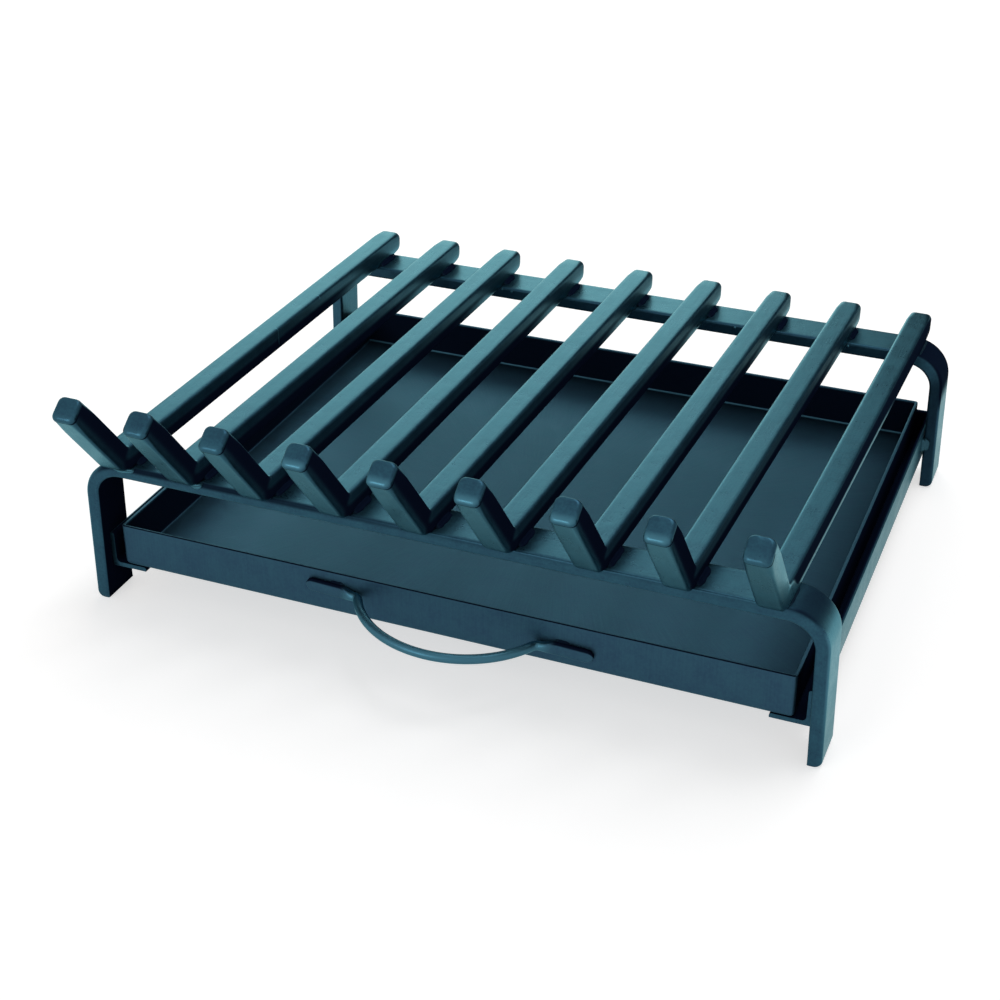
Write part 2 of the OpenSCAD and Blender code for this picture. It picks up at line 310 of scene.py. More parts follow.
frames = {
    "thickness": 9 * mm, "bendRadius": 26 * mm, "legLean": 1.5, "footRadius": 4 * mm, "edgeRadius": 1.6 * mm,
    "flare": 0.035,   # share by which the bar spreads inside its bends
    "footSteps": 8, "legSteps": 9, "bendSteps": 18, "beamSteps": 13,
    "rightBend": (0.865, 0.915),   # where the bend beside the last bar starts, as shares of half the width
    "sheenLower": 0.25,   # painted highlight along the beam's front bottom edge
    "footShare": 0.25, "footReach": 70 * mm,   # painted sheen on the legs' outer faces: its share at the soles, and the height where it is whole
    # painted shade on the inner faces, on the beam's front top edge at its right and left, on its front face, on
    # top of the bend beside the last bar and on the right leg's front, painted sheen on the legs' outer faces, and
    # the heights over which the bend's top gets its value and its front loses it
    "front_frame": {"inside": 1.0, "edge": (0.2, 0.75), "face": 0.0, "corner": 0.62, "legFront": 0.0,
                    "legsOutside": 0.8, "cornerRise": (87 * mm, 97 * mm), "bendRise": (80 * mm, 96 * mm)},
    "rear_frame": {"inside": 0.0, "edge": (0.0, 0.0), "face": 0.3, "corner": 0.9, "legFront": 0.5,
                   "legsOutside": 0.5, "cornerRise": (56 * mm, 82 * mm), "bendRise": (80 * mm, 96 * mm)},
}


def frameBend(halfWidth, height):
    # the foot's arc touches the sole and the leg's outer line, which lies at a distance reach from the origin;
    # the bend's middle lies its radius below the beam's top and inside that line
    foot, radius = frames["footRadius"], frames["bendRadius"]
    cos, sin = turned(frames["legLean"])
    footMiddle = np.array([halfWidth - foot * cos, foot])
    reach = footMiddle @ (cos, sin) + foot
    bendZ = height - radius
    return footMiddle, reach, np.array([(reach - radius - bendZ * sin) / cos, bendZ])


def frameLines(halfWidth, height):
    # outer and inner line of the right half, from the sole to the middle of the beam:
    # foot arc, leaning leg, bend of outer radius R and inner radius R - t, beam
    radius, thick, foot, lean = (frames[key] for key in ("bendRadius", "thickness", "footRadius", "legLean"))
    footMiddle, reach, bend = frameBend(halfWidth, height)
    cos, sin = turned(lean)
    innerFoot = (reach - thick) / cos

    arc = footMiddle + foot * np.stack(turned(np.linspace(-90, lean, frames["footSteps"] + 1)), axis=-1)
    arcInside = np.stack([innerFoot - arc[:, 1] * sin / cos, arc[:, 1]], axis=-1)
    spokes = np.stack(turned(np.linspace(lean, 90, frames["bendSteps"] + 1)), axis=-1)
    outBend, inBend = bend + radius * spokes, bend + (radius - thick) * spokes
    share = np.linspace(0, 1, frames["legSteps"] + 1)[1:-1, None]
    outLeg, inLeg = spread((arc[-1], outBend[0]), share), spread((arcInside[-1], inBend[0]), share)
    share = np.linspace(0, 1, frames["beamSteps"] + 1)[1:, None]
    outBeam = spread((outBend[-1], [0, height]), share)
    inBeam = spread((inBend[-1], [0, height - thick]), share)
    bent = np.concatenate([np.zeros(len(arc) + len(outLeg)), np.sin(np.linspace(0, np.pi, len(outBend))),
                           np.zeros(len(outBeam))])
    return (np.concatenate([arc, outLeg, outBend, outBeam]),
            np.concatenate([arcInside, inLeg, inBend, inBeam]), bent)


def frameShading(shadingByPlace, aside, height, forward, outside, leg):
    # painted shade (above 0) and painted sheen (below 0) over a frame, by place
    # aside and height: place in the frame; forward: 1 on the front face; outside: -1 on the inner and 1 on the
    # outer face; leg: 1 on the legs, 0 on the beam
    front = ramp(forward, 0.80, 0.95)
    right = ramp(aside, *frames["rightBend"])
    bend = right * ramp(height, *shadingByPlace["bendRise"])
    corner = right * ramp(height, *shadingByPlace["cornerRise"])
    onEdge = spread(shadingByPlace["edge"], ramp(aside, 0.35, -0.65)) * ramp(outside, 0.1, 0.5)
    onBeam = onEdge + shadingByPlace["face"] * (1 - bend) - frames["sheenLower"] * ramp(outside, -0.5, -0.8)
    onLeg = shadingByPlace["legFront"] * (aside > 0) * (1 - bend)
    # painted sheen on the legs' outer faces, rising from the soles
    full = shadingByPlace["legsOutside"] * spread((frames["footShare"], 1), smooth(height / frames["footReach"]))
    return (shadingByPlace["inside"] * ramp(outside, -0.9, -1.0) + front * ((1 - leg) * onBeam + leg * onLeg)
            + ramp(outside, 0.5, 1.0) * (shadingByPlace["corner"] * corner - full * leg * (1 - corner)))


def makeFrame(node, name):
    # section: the flat bar's rounded rectangle, carried along the middle between outer and inner line
    low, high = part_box(node)
    outer, inner, bent = frameLines(high.x, high.z)
    outer, inner = (np.concatenate([line * [-1, 1], line[-2::-1]]) for line in (outer, inner))
    bent = np.concatenate([bent, bent[-2::-1]])
    middle = (outer + inner) / 2
    centres = middle[:, :1] * toRight + (low.y + high.y) / 2 * toBack + middle[:, 1:] * up
    outward = unit(outer - inner)
    outward = outward[:, :1] * toRight + outward[:, 1:] * up
    deep = np.broadcast_to(toBack, centres.shape)
    halfThick = np.linalg.norm(outer - inner, axis=-1) / 2
    halfDeep = (high.y - low.y) / 2
    section = roundedRectangle(halfDeep, halfThick, np.minimum(frames["edgeRadius"], halfThick * 0.4))
    outside = section[..., 1] / halfThick[:, None]
    section[..., 0] *= 1 - frames["flare"] * bent[:, None] * outside
    points = carried(centres, deep, outward, section)
    leg = smooth(1.5 * np.abs(outward[:, :1]) - 0.5)
    shadingAndMarks = frameShading(frames[node], middle[:, :1] / high.x, middle[:, 1:], -section[..., 0] / halfDeep, outside, leg)
    addPiece(name, [shell(points, shadingAndMarks)], "grate", "frame_paint", node)


makeFrame("front_frame", "frontFrame")
makeFrame("rear_frame", "rearFrame")
print("frames bent")


# fire bars

bars = {
    "count": 9, "side": 16 * mm, "edgeRadius": 1.8 * mm, "bendRadius": 3 * mm,
    "stopLean": 37.5, "stopLength": 67.0 * mm,
    "endRadius": 2.7 * mm, "endCorner": 3.8 * mm, "endCrown": 0.3 * mm,
    "endReach": 22 * mm,   # over which the stop's edges widen to the end's corners
    "backShare": 0.45,   # the end's rounding at its back edge, as a share of the front one
    "burr": 0.3 * mm, "burrWidth": 0.9 * mm,   # lip that the cut leaves below the log stop's end
    "lipSteps": (1.0 * mm, 0.8 * mm, 0.1 * mm, 0.0, -0.1 * mm),   # stations where it starts
    "tailRadius": 7.3 * mm, "tailCrown": 0.1 * mm,   # rear end, rounded above and below
    "tailLeft": 0.15, "tailRight": 0.4,   # and beside, as shares of that
    "tailShort": 0.2 * mm,   # how much it ends before the solid
    "upset": 0.045,   # share by which the bar swells inside its bend
    "runSteps": 35, "nearBend": 24 * mm, "nearSteps": 12, "bendSteps": 16, "stopSteps": 13,
    # painted shade: on the sides' two halves, on the tops towards their right edge, on the log stops' sides, on
    # the right ones at the root, on their front right edges, on the last bar's outer side; pairs are for the first
    # and the last bar
    "shadingUpper": (0.32, 0.66), "shadingLower": 1.0, "shadingShoulder": 0.2, "shadingStops": 0.98, "shadingRoot": 0.1,
    "shadingTurned": 0.3, "shadingOuter": 0.92,
    # painted shade on the stops' ends at their back, on those ends' rims at the back (painted sheen at the front),
    # and on the rear ends at their left and right
    "shadingEnds": 0.15, "shadingRim": (0.25, -0.1), "shadingTail": (0.1, 0.6),
    # painted sheen: on the stops' fronts, on the last bar's, on the front half of the stops' ends and of those of
    # the middle bars, on the left top edges, on the sides' upper (a share of their painted shade) and lower half at
    # the rear
    "sheenStops": (0.5, 0.2), "sheenEnds": (0.3, 0.8), "middleBars": (4, 5, 6, 7, 8), "sheenArris": 0.3,
    "sheenAbove": 0.15, "sheenTail": (0.75, 0.0), "tailReach": 150 * mm,
    # and in the painted highlight band along the last bar's outer side and on its stop; the band starts this far
    # before the rear end, and its top and softness change over bandWiden before the bend
    "sheenBand": 0.78, "sheenOuterStop": (0.1, 1.0), "bandStart": (110 * mm, 200 * mm), "bandWiden": 20 * mm,
    "bandTop": (-0.35, 1.35), "bandSoft": (0.35, 0.75),
    # scratches down a bar's right side: how far behind the frame's front, and how far down the section
    "scratches": {1: ((191 * mm, -0.4), (254 * mm, 0.75))}, "scratchWidth": 0.8 * mm,
}
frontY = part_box("front_frame")[0].y
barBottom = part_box("bar_1")[0].z


def barLine(number):
    # middle of the bar over the front of the frame, directions along it to the rear and across it to the right,
    # and the distance to its rear end
    low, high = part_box("bar_%d" % number)
    lean = (high.x - low.x - bars["side"]) / (high.y - low.y)
    along = unit(np.array([lean, 1.0, 0.0]))
    start = np.array([low.x + bars["side"] / 2 + lean * (frontY - low.y), frontY, barBottom])
    return start, along, np.array([along[1], -along[0], 0.0]), (high.y - frontY) / along[1]


def barStations(rear, scratches):
    # the bar in its own side view: rings of the rear end, run to the front, bend about an axis above it, log stop,
    # rings of the stop's end; station is each one's number, 0 being the first ring of the stop's end
    half, inner = bars["side"] / 2, bars["bendRadius"]
    turn = 90 - bars["stopLean"]
    axisY, axisZ = inner * np.tan(np.radians(turn / 2)), 2 * half + inner
    straight = bars["stopLength"] - axisY
    depth, inset = endRings(bars["endRadius"], half, bars["endCrown"])
    tailDepth, tailInset = endRings(bars["tailRadius"], half, bars["tailCrown"])

    near = axisY + bars["nearBend"]
    run = np.concatenate([np.linspace(rear - tailDepth[-1], near, bars["runSteps"] + 1)[1:],
                          np.linspace(near, axisY, bars["nearSteps"] + 1)[1:]]
                         + [place + bars["scratchWidth"] * np.array([-0.75, -0.375, 0.375, 0.75])
                            for place, _ in scratches])
    run = np.sort(run)[::-1]
    theta = np.linspace(0, turn, bars["bendSteps"] + 1)[1:]
    cos, sin = turned(theta)
    lip = depth[-1] + bars["burrWidth"]
    rise = np.concatenate([np.linspace(0, straight - lip - 2 * bars["lipSteps"][0], bars["stopSteps"] + 1)[1:],
                           straight - lip - np.array(bars["lipSteps"]), straight - depth[::-1]])
    y = np.concatenate([rear - tailDepth, run, axisY - (inner + half) * sin,
                        axisY - (inner + half) * sin[-1] - rise * cos[-1]])
    before = len(tailDepth) + len(run)
    z = np.concatenate([np.full(before, half), axisZ - (inner + half) * cos,
                        axisZ - (inner + half) * cos[-1] + rise * sin[-1]])
    angle = np.concatenate([np.zeros(before), theta, np.full(len(rise), turn)])
    count = len(angle)
    insets = np.concatenate([tailInset, np.zeros(count - len(tailInset) - len(inset)), inset[::-1]])
    lipped = np.zeros(count)
    lipped[-len(inset) - 2:-len(inset)] = bars["burr"] * np.array([0.6, 1.0])
    lipped[-len(inset):] = bars["burr"] * np.linspace(1, 0, len(inset))
    risen = np.concatenate([np.zeros(count - len(rise)), rise])
    widened = np.where(y > rear - 2 * bars["tailRadius"], smooth(1.9 - (rear - y) / bars["tailRadius"]),
                       smooth(1 - (straight - risen) / bars["endReach"]))
    swelling = np.zeros(count)
    swelling[before:before + len(theta)] = np.sin(np.pi * theta / turn)
    return {"y": y, "z": z, "angle": angle, "turn": angle / turn, "inset": insets, "widened": widened,
            "lip": lipped, "swelling": swelling, "fromAxis": y - axisY, "fromRear": rear - y,
            "tail": np.arange(count) < len(tailDepth), "station": np.arange(count) - count + len(inset)}


def barSides(number, line, aside, high):
    # painted shade, most below the middle and on the stops, less towards the rear end; the last bar's outer side
    # has a painted highlight band that widens towards the bend, and a stop painted light
    order = (number - 1) / (bars["count"] - 1)
    outer = (number == bars["count"]) & (aside > 0)
    upper = spread(bars["shadingUpper"], order)
    side = spread((bars["shadingLower"], upper), ramp(high, -0.1, 0.1))
    behind = smooth(1 - line["fromRear"] / bars["tailReach"])[:, None]
    # painted sheen on the sides near the rear end
    full = spread(bars["sheenTail"], order)
    side = side - behind * (bars["sheenAbove"] * upper + (1 + full) * ramp(high, 0.3, -0.6))
    ahead = smooth(1 - line["fromAxis"] / bars["bandWiden"])[:, None]
    top = spread(bars["bandTop"], ahead)
    band = ramp(high, top, top - spread(bars["bandSoft"], ahead))
    band = band * ramp(line["fromRear"], *bars["bandStart"])[:, None]
    side = np.where(outer, spread((bars["shadingOuter"], -bars["sheenBand"]), band), side)

    root = spread((bars["shadingRoot"], bars["shadingStops"]), ramp(high, -1, 0.15 - 0.4 * order))
    outerStop = -spread(bars["sheenOuterStop"], (high + 1) / 2)
    onStop = np.where(outer, outerStop, np.where(aside > 0, root, bars["shadingStops"]))
    bend = np.where(outer, smooth(line["turn"] * 1.6)[:, None], ramp(line["turn"], 1 / 3, 1)[:, None])
    return spread((side, onStop), bend)


def barShading(number, line, aside, high, scratches):
    # painted shade and painted sheen over a bar; its scratches take the lighter colour
    # aside and high: -1 on the left and bottom faces, 1 on the right and top ones
    last = number == bars["count"]
    beside = ramp(np.abs(aside), 0.9, 0.98)
    stop = ramp(line["turn"], 1 / 3, 1)[:, None]
    shadingAndMarks = beside * barSides(number, line, aside, high)
    shadingAndMarks = shadingAndMarks + bars["shadingShoulder"] * ramp(aside, 0.4, 0.8) * (1 - beside) * (1 - stop) * (high > 0)
    front = ramp(high, -0.85, -0.95) * stop
    onFront = spread((-bars["sheenStops"][int(last)], bars["shadingTurned"]), ramp(aside, 0.72, 1) * (not last))
    shadingAndMarks = np.where(front > 0, front * onFront, shadingAndMarks)
    shadingAndMarks = shadingAndMarks - bars["sheenArris"] * ramp(aside, -0.8, -0.9) * ramp(high, 0.8, 0.9) * (1 - stop)

    # the stop's end: painted sheen on its front half and its rim, painted shade in the nick below its lip
    station = line["station"][:, None]
    full = bars["sheenEnds"][int(number in bars["middleBars"])]
    end = spread((bars["shadingEnds"], -full), ramp(high, 0.05, -0.8))
    rim = spread(bars["shadingRim"], ramp(high, -0.1, -1.1)) * smooth(1.3 - np.abs(station - 1.5) / 3)
    shadingAndMarks = np.where(station >= 0, np.maximum(end * smooth(station / 4) + rim, -1), shadingAndMarks)
    shadingAndMarks = np.where((station < 0) & (station >= -4) & (high < 0), 1.0, shadingAndMarks)

    # the rear end: partly painted shade on its right above the middle
    crest = ramp(aside, -0.2, 0.4) * ramp(high, -0.2, 0.2)
    ended = smooth(1.2 - line["fromRear"] / bars["tailRadius"])[:, None]
    tail = spread((shadingAndMarks, spread(bars["shadingTail"], crest)), ended)
    shadingAndMarks = np.where(line["tail"][:, None] & (high < 0.95), tail, shadingAndMarks)
    for place, low in scratches:
        scratched = (np.abs(line["y"] - place) < bars["scratchWidth"] / 2)[:, None]
        shadingAndMarks = np.where(scratched & (aside > 0.6) & (high > low), -1.0, shadingAndMarks)
    return shadingAndMarks


def makeBar(number):
    # section: a rounded square, smaller by the inset in the end rings
    half = bars["side"] / 2
    start, along, across, rear = barLine(number)
    scratches = bars["scratches"].get(number, ())
    line = barStations(rear - bars["tailShort"], scratches)
    inset, tail = line["inset"], line["tail"]
    cos, sin = turned(line["angle"])
    centres = start + line["y"][:, None] * along + line["z"][:, None] * up
    upward = sin[:, None] * along + cos[:, None] * up
    tall = half - inset
    wide = np.where(tail, half - inset * (bars["tailLeft"] + bars["tailRight"]) / 2, tall)
    corner = np.minimum(spread((bars["edgeRadius"], bars["endCorner"]), line["widened"]), tall * 0.6)
    section = roundedRectangle(wide, tall, corner, flatStops=np.linspace(0, 1, 9)[1:-1])
    section[..., 0] -= (tail * inset * (bars["tailRight"] - bars["tailLeft"]) / 2)[:, None]

    # the stop's end is rounded less at its back edge, a lip stands out at its front, the bend is swollen inside
    u, v = section[..., 0], section[..., 1] / tall[:, None]
    backward = (1 - bars["backShare"]) * inset * (line["station"] >= 0)
    v = v * (tall + backward / 2)[:, None] + backward[:, None] / 2 + line["lip"][:, None] * np.minimum(v, 0)
    u = u * (1 + bars["upset"] * line["swelling"][:, None] * v / half)
    points = carried(centres, np.broadcast_to(across, centres.shape), upward, np.stack([u, v], axis=-1))
    shadingAndMarks = barShading(number, line, u / half, v / half, scratches)
    addPiece("fireBar%d" % number, [shell(points, shadingAndMarks)], "grate", "bar_paint", "bar_%d" % number)


for number in range(1, bars["count"] + 1):
    makeBar(number)
print("fire bars bent")


# pan runners

runners = {
    "leg": 25 * mm, "thickness": 3 * mm, "fillet": 3 * mm, "toe": 1.5 * mm, "heel": 0.8 * mm, "corner": 0.4 * mm,
    "sawnEdge": 0.3 * mm, "steps": 24,
    "shadingInside": 1.0,   # painted shade on the inner faces, the sawn front ends left out
    "shadingOutside": 0.3,   # and on the outer ones towards the rear
}


def angleSection():
    # rolled angle with its heel at the origin, one leg towards minus and one upwards: arcs as centre, radius,
    # first and last angle
    leg, thick = runners["leg"], runners["thickness"]
    fillet, toe, heel, corner = (runners[key] for key in ("fillet", "toe", "heel", "corner"))
    arcs = [
        (-heel, heel, heel, -90, 0), (-corner, leg - corner, corner, 0, 90),
        (toe - thick, leg - toe, toe, 90, 180), (-thick - fillet, thick + fillet, fillet, 0, -90),
        (toe - leg, thick - toe, toe, 90, 180), (corner - leg, corner, corner, 180, 270),
    ]
    return np.concatenate([[x, z] + radius * np.stack(turned(np.linspace(first, last, 7)), axis=-1)
                           for x, z, radius, first, last in arcs])


def makeRunner(node, name, level, beside, shift, reach):
    # section laid along the direction level; shift gives each point's place beside it, reach its two ends
    section = angleSection()
    start, end = reach(section[:, 0])
    share = np.concatenate([[0, 0.001], np.linspace(0, 1, runners["steps"] + 1)[1:]])[:, None]
    run = spread((start, end), share)
    sideways = np.broadcast_to(section[:, 0], run.shape)
    height = np.broadcast_to(section[:, 1], run.shape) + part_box(node)[0].z
    points = shift(sideways)[..., None] * beside + run[..., None] * level + height[..., None] * up
    inside, outside = sideways < -runners["corner"], sideways > -runners["corner"]
    # painted shade on the inner faces, and on the outer ones growing towards the rear
    shadingAndMarks = (runners["shadingInside"] * inside + runners["shadingOutside"] * outside * share) * (share > 0)
    piece = addPiece(name, [shell(points, shadingAndMarks)], "grate", "runner_paint", node)
    bevel = piece.modifiers.new("sawnEnds", "BEVEL")
    bevel.width, bevel.segments, bevel.limit_method = runners["sawnEdge"], 2, "ANGLE"
    bevel.angle_limit = np.radians(50)


def makeRunners():
    # the side runners end at the rear in mitres, as the rear one does at both ends
    low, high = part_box("right_runner")
    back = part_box("rear_runner")[1].y

    def sideReach(x):
        return low.y + 0 * x, back + x

    makeRunner("right_runner", "rightRunner", toBack, toRight, lambda x: high.x + x, sideReach)
    makeRunner("left_runner", "leftRunner", toBack, toRight, lambda x: -high.x - x, sideReach)
    makeRunner("rear_runner", "rearRunner", toRight, toBack, lambda y: back + y,
               lambda y: (-high.x - y, high.x + y))


makeRunners()
print("runners sawn and mitred")


# ash pan

pan = {
    "sheet": 2 * mm, "foldRadius": 1.5 * mm, "cornerRadius": 2.5 * mm, "rimRound": 0.5 * mm,
    "innerCorner": 0.5 * mm, "cornerShrink": 0.6,   # the corners' least radius, and how fast it falls inwards
    "oilCan": 0.5 * mm,   # how far the thin floor is drawn out of flat
    "shadingWalls": 0.85,   # painted shade on the walls' inner sides
    "shadingOutside": 1.0,   # on the two side walls' outer sides
    "shadingRim": 1.0,   # on the front panel's rim
    "shadingFloor": 0.45,   # on the floor towards the right and rear walls
    "shadingCrease": -0.5,   # and a painted highlight in the crease before the rear wall
}


def panProfile(halfDeep, tall):
    # from the middle of the floor over the rim to the middle of the underside, as inset and height: flats,
    # quarter circles at the folds and half a circle over the rim
    sheet, fold, rim, step = pan["sheet"], pan["foldRadius"], pan["rimRound"], 1 * mm
    outer = sheet + fold
    floorInset = np.concatenate([halfDeep * (1 - np.array([0.04, 0.15, 0.3, 0.5, 0.68, 0.8, 0.9])),
                                 [12 * mm, 7.5 * mm, outer + step]])
    cos, sin = turned(np.linspace(0, 90, 7))
    rows = [(floorInset, sheet), (sheet + fold * (1 - sin), sheet + fold * (1 - cos)),
            (sheet, np.linspace(outer + step, tall - rim - step, 4)),
            (sheet - rim * (1 - cos), tall - rim * (1 - sin)),
            (rim * (1 - cos[::-1]), tall - rim * (1 - sin[::-1])),
            (0, np.linspace(tall - rim - step, outer + step, 4)), (outer * (1 - cos), outer * (1 - sin)),
            (floorInset[::-1], 0)]
    return np.concatenate([np.stack(np.broadcast_arrays(*row), axis=-1) for row in rows])


def panShading(inset, height, tall, across, deep, plan, half):
    # places with painted shade, and one with a painted highlight
    sheet, fold, rim = pan["sheet"], pan["foldRadius"], pan["rimRound"]
    inWall = (inset > 0.5 * sheet) & (inset < sheet + fold / 2) & (height > sheet)
    onRim = (height > tall - rim * 1.5) & (inset > 0.1 * rim)
    outWall = (inset < 0.1 * rim)[:, None] & (np.abs(plan[..., 0]) > half[0] - 0.1 * mm)
    inCrease = (np.abs(height - sheet - fold * 0.4) < fold * 0.35) & (inset > sheet) & (inset < 2 * sheet + fold)
    onTop = (height < sheet + 0.01 * mm) & (np.arange(len(height)) < len(height) / 2)
    shaded = np.maximum(ramp(across, 0.70, 1.0), ramp(deep, 0.62, 1.0))
    shadingAndMarks = np.maximum((pan["shadingWalls"] * inWall)[:, None], pan["shadingOutside"] * outWall)
    shadingAndMarks = np.where(onRim[:, None], pan["shadingRim"] * (plan[..., 1] < 1 * mm - half[1]), shadingAndMarks)
    shadingAndMarks = np.where(inCrease[:, None] & (deep > 0.9), pan["shadingCrease"], shadingAndMarks)
    return np.where(onTop[:, None], pan["shadingFloor"] * shaded, shadingAndMarks)


def makePan():
    # each point of the profile is drawn out to a rounded rectangle, inset from the pan's outline
    low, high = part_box("ash_pan")
    half = np.array([high.x - low.x, high.y - low.y]) / 2
    middle = np.array([low.x + high.x, low.y + high.y]) / 2
    tall = high.z - low.z
    profile = panProfile(half[1], tall)
    inset, height = profile[:, 0], profile[:, 1]
    corner = np.maximum(pan["cornerRadius"] - inset * pan["cornerShrink"], pan["innerCorner"])
    plan = roundedRectangle(half[0] - inset, half[1] - inset, corner, flatStops=np.linspace(0, 1, 21)[1:-1])
    points = np.concatenate([plan + middle, np.broadcast_to(height[:, None, None], plan.shape[:2] + (1,))], axis=-1)

    # the floor rises by oilCan times a product of sines and cosines that ends at the folds
    across, deep = plan[..., 0] / half[0], plan[..., 1] / half[1]
    drawn = np.cos(np.pi * across / 2) * np.cos(np.pi * deep / 2) * np.sin(5 * across + 1) * np.cos(3 * deep)
    onFloor = (height < pan["sheet"] + 0.01 * mm)[:, None]
    points[..., 2] += low.z + onFloor * pan["oilCan"] * np.maximum(drawn, 0)
    shadingAndMarks = panShading(inset, height, tall, across, deep, plan, half)
    addPiece("ashPan", [shell(points, shadingAndMarks, gone(profile))], "pan", "pan_paint", "ash_pan")


makePan()
print("ash pan folded")


# handle

handle = {
    "rod": 6 * mm, "gripRadius": 66.3 * mm, "span": 119 * mm, "heelBend": 5 * mm,
    "heelOut": 3.5 * mm,   # how far the rod's middle line lies in front of the panel at the heels
    "taper": 11 * mm, "padLength": 36.5 * mm, "padHeight": 9 * mm, "padThickness": 3 * mm,
    "tipThickness": 0.35, "tipLeast": 0.02,   # of a pad's rounded tip and its very end, as shares
    "squareness": (2, 5),   # of the section, on the rod and on the pads
    "tilt": 2.2, "panelGap": 0.05 * mm, "sheenRod": 0.65, "gripSteps": 29, "heelSteps": 11, "padSteps": 11,
}


def makeHandle():
    # middle line of the right half: grip arc, heel arc tangent to it and to the line y = heelY, run-in to the
    # pad, pad against the panel
    low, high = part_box("pan_handle")
    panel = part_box("ash_pan")[0].y
    grip, heel, rod = handle["gripRadius"], handle["heelBend"], handle["rod"] / 2
    heelY = panel - handle["heelOut"]
    centreY = heelY + np.sqrt(grip ** 2 - (handle["span"] / 2) ** 2)
    apart = centreY - (heelY - heel)
    heelX = np.sqrt((grip + heel) ** 2 - apart ** 2)
    meet = np.degrees(np.arctan2(-apart, heelX))
    cos, sin = turned(np.linspace(-90, meet, handle["gripSteps"] + 1))
    gripLine = np.stack([grip * cos, centreY + grip * sin], axis=-1)
    cos, sin = turned(np.linspace(meet + 180, 90, handle["heelSteps"] + 1)[1:])
    heelLine = np.stack([heelX + heel * cos, heelY - heel + heel * sin], axis=-1)
    cap = handle["padHeight"] / 2
    padX, last = heelX + handle["taper"], handle["span"] / 2 + handle["padLength"] - cap
    x = np.concatenate([np.linspace(heelX, padX, handle["padSteps"] + 1)[1:],
                        np.linspace(padX, last, handle["padSteps"] + 1)[1:],
                        last + cap * np.sin(np.radians([15, 30, 45, 60, 72, 82, 88]))])
    flat = ramp(x, heelX, padX)
    seat = panel - handle["panelGap"] - handle["padThickness"] / 2
    padLine = np.stack([x, spread((heelY, seat), flat)], axis=-1)

    # the rod's half thickness and half height change to the pad's, whose tip closes as half a circle
    line = np.concatenate([gripLine, heelLine, padLine])
    flat = np.concatenate([np.zeros(len(gripLine) + len(heelLine)), flat])
    closing = np.sqrt(1 - ((line[:, 0] - last) / cap).clip(0, 1) ** 2).clip(handle["tipLeast"])
    tall = spread((rod, cap), flat) * closing
    thick = spread((rod, handle["padThickness"] / 2), flat) * spread((handle["tipThickness"], 1), closing ** 0.5)
    line = np.concatenate([(line * [-1, 1])[::-1], line[1:]])
    flat, thick, tall = (np.concatenate([v[::-1], v[1:]]) for v in (flat, thick, tall))

    # section: superellipse |u / thick|^n + |v / tall|^n = 1, n being the squareness
    power = (2 / spread(handle["squareness"], flat))[:, None]
    cos, sin = turned(np.linspace(0, 360, 33)[:-1])
    u = thick[:, None] * np.sign(cos) * np.abs(cos) ** power
    v = tall[:, None] * np.sign(sin) * np.abs(sin) ** power
    tangent = unit(np.gradient(line, axis=0))
    normal = tangent[:, :1] * toBack - tangent[:, 1:] * toRight
    centres = line[:, :1] * toRight + line[:, 1:] * toBack
    points = carried(centres, normal, np.broadcast_to(up, centres.shape), np.stack([u, v], axis=-1))

    # tilt about the line through the middle of the panel
    cos, sin = turned(handle["tilt"])
    x, z = points[..., 0].copy(), points[..., 2].copy()
    points[..., 0] = (low.x + high.x) / 2 + x * cos + z * sin
    points[..., 2] = (low.z + high.z) / 2 + z * cos - x * sin
    # painted shade along the pads' top edges, painted sheen on the rod
    shadingAndMarks = flat[:, None] * ramp(v / tall[:, None], 0.5, 0.8) - handle["sheenRod"] * (1 - flat[:, None])
    addPiece("panHandle", [shell(points, shadingAndMarks)], "pan", "handle_paint", "pan_handle")


makeHandle()
print("handle bent and hammered")


# welds

welds = {
    "barLeg": 3.0 * mm, "barLength": 20 * mm, "runnerLeg": 6 * mm, "runnerLength": 11 * mm,
    "tackLeg": 1.3 * mm, "tackLength": 9 * mm, "step": 0.35 * mm, "root": 0.5 * mm,
    "tip": 0.004,   # square of a bead's least size, at its two ends
    "ripple": 1.5 * mm, "rippleDepth": 0.03, "rippleBow": 0.45, "rippleShape": 1.6,
    "wander": 0.07, "wanderLength": 9 * mm,   # how much a bead's size wanders along it, and over what length
    "face": 0.80, "hollow": 0.12,   # the bead's face as a share of a quarter circle, and its hollow
    "shadingAndMarks": 0.82, "shadingRight": 0.96,   # painted shade on the beads, and more on the bars' right sides
    "shadingEnd": 0.7, "endLength": 3 * mm,   # share of that at a bead's front end
    # lighter: painted sheen on the runner beads and on the beads in front of the bars, and the spatter flecks
    "shadingRunner": -0.2, "shadingFront": -0.8, "shadingFleck": -0.6,
    "lastLeg": 0.35, "shadingLast": 0.7,   # the bead outside the last bar: its size as a share of the others, and its painted shade
    # beads that show in front of a bar: from and to, across from its middle, in sides of the bar
    "frontBeads": {1: (-0.5, 0.6), 2: (0.0, 0.6)}, "frontLeg": 4.5 * mm, "frontRoot": 0.5 * mm,
    "frontLean": 14.4524,
    # spatter on the rear beam's front: across, height and radius in mm
    "spatter": [(-95.5, 103.4, 0.8), (-87.6, 102.7, 1.0), (89.6, 102.7, 1.0), (173.8, 102.6, 1.1)],
    "fleckHeight": 0.6,
}


